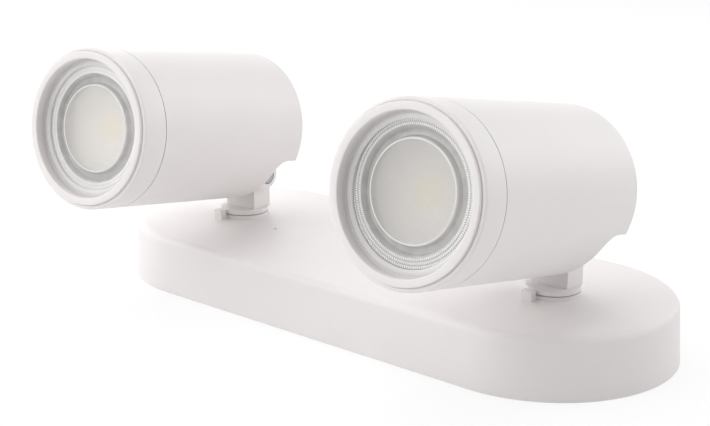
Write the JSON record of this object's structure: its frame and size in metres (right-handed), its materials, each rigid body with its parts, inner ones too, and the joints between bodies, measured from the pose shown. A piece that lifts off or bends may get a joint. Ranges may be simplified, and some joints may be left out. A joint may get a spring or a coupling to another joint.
{
  "type": "pivoting wall spotlight bar",
  "caption": "Round-ended wall spotlight bar: cylindrical heads on turning, tilting stems with screwed front rings and recessed reflector lamps.",
  "frame": {"origin": "centre of the cover's back, on the wall", "axes": "+Z out of the wall, +X along the cover, the beams towards -Y at rest"},
  "size_m": [0.26, 0.1491, 0.1123],
  "materials": {
    "white_paint": "satin",
    "zinc_steel": "satin",
    "black_screw": "satin",
    "dark_nylon": "matte",
    "black_rubber": "matte",
    "ivory_plastic": "matte",
    "brass": "satin",
    "lead_sheath": "satin",
    "pale_ceramic": "matte",
    "lamp_shell": "satin",
    "nickel": "satin",
    "lamp_lens": "satin",
    "led_board": "matte",
    "retainer_white": "satin"
  },
  "bodies": {
    "base": {"base_cover": "white_paint", "mounting_plate": "zinc_steel", "plate_posts": "zinc_steel", "cover_screws": "white_paint", "cable_grommet": "black_rubber", "terminal_block": "ivory_plastic", "terminal_screws": "brass", "earth_screw": "brass", "left_base_lead": "lead_sheath", "left_pivot_seat": "white_paint", "right_base_lead": "lead_sheath", "right_pivot_seat": "white_paint"},
    "left_swivel": {"left_stem": "white_paint", "left_pivot_shim": "dark_nylon", "left_spring_washer": "zinc_steel", "left_stop_washer": "zinc_steel", "left_lock_nut": "zinc_steel"},
    "left_head": {"left_barrel": "white_paint", "left_tilt_screw": "black_screw", "left_tilt_nut": "black_screw", "left_tilt_washers": "dark_nylon", "left_lead_bush": "black_rubber", "left_holder_bracket": "zinc_steel", "left_holder_screws": "zinc_steel", "left_lampholder": "pale_ceramic", "left_holder_contacts": "brass", "left_holder_leads": "lead_sheath"},
    "left_lamp": {"left_lamp_housing": "lamp_shell", "left_lamp_pins": "nickel", "left_lamp_lens": "lamp_lens", "left_led_board": "led_board"},
    "left_retainer": {"left_lamp_retainer": "retainer_white"},
    "left_ring": {"left_front_ring": "white_paint"},
    "right_swivel": {"right_stem": "white_paint", "right_pivot_shim": "dark_nylon", "right_spring_washer": "zinc_steel", "right_stop_washer": "zinc_steel", "right_lock_nut": "zinc_steel"},
    "right_head": {"right_barrel": "white_paint", "right_tilt_screw": "black_screw", "right_tilt_nut": "black_screw", "right_tilt_washers": "dark_nylon", "right_lead_bush": "black_rubber", "right_holder_bracket": "zinc_steel", "right_holder_screws": "zinc_steel", "right_lampholder": "pale_ceramic", "right_holder_contacts": "brass", "right_holder_leads": "lead_sheath"},
    "right_lamp": {"right_lamp_housing": "lamp_shell", "right_lamp_pins": "nickel", "right_lamp_lens": "lamp_lens", "right_led_board": "led_board"},
    "right_retainer": {"right_lamp_retainer": "retainer_white"},
    "right_ring": {"right_front_ring": "white_paint"}
  },
  "joints": [
    {"name": "left_pan", "type": "hinge", "parent": "base", "child": "left_swivel", "pos_m": [-0.082, 0, 0.0237], "axis": [0, 0, 1], "range_deg": [-168.9, 159.1]},
    {"name": "left_tilt", "type": "hinge", "parent": "left_swivel", "child": "left_head", "pos_m": [-0.08222, 0.00259, 0.0425], "axis": [-0.9963, -0.0854, 0], "range_deg": [-9.4, 80.6]},
    {"name": "left_lamp_twist", "type": "hinge", "parent": "left_head", "child": "left_lamp", "pos_m": [-0.08251, 0.00598, 0.06307], "axis": [0.0843, -0.983, 0.1633], "range_deg": [0, 30]},
    {"name": "left_retainer_travel", "type": "slide", "parent": "left_head", "child": "left_retainer", "axis": [0.0843, -0.983, 0.1633], "range_m": [0, 0.004]},
    {"name": "left_ring_turn", "type": "hinge", "parent": "left_retainer", "child": "left_ring", "pos_m": [-0.08251, 0.00598, 0.06307], "axis": [0.0843, -0.983, 0.1633], "range_deg": [0, 720]},
    {"name": "right_pan", "type": "hinge", "parent": "base", "child": "right_swivel", "pos_m": [0.082, 0, 0.0237], "axis": [0, 0, 1], "range_deg": [-165.3, 162.7]},
    {"name": "right_tilt", "type": "hinge", "parent": "right_swivel", "child": "right_head", "pos_m": [0.08194, 0.0026, 0.0425], "axis": [-0.9997, -0.0227, 0], "range_deg": [-10.6, 79.4]},
    {"name": "right_lamp_twist", "type": "hinge", "parent": "right_head", "child": "right_lamp", "pos_m": [0.08185, 0.00643, 0.06299], "axis": [0.0223, -0.9827, 0.184], "range_deg": [0, 30]},
    {"name": "right_retainer_travel", "type": "slide", "parent": "right_head", "child": "right_retainer", "axis": [0.0223, -0.9827, 0.184], "range_m": [0, 0.004]},
    {"name": "right_ring_turn", "type": "hinge", "parent": "right_retainer", "child": "right_ring", "pos_m": [0.08185, 0.00643, 0.06299], "axis": [0.0223, -0.9827, 0.184], "range_deg": [0, 720]}
  ],
  "couplings": [
    {"joint": "left_retainer_travel", "follows": "left_ring_turn", "m_per_rad": 0.00031831},
    {"joint": "right_retainer_travel", "follows": "right_ring_turn", "m_per_rad": 0.00031831}
  ]
}
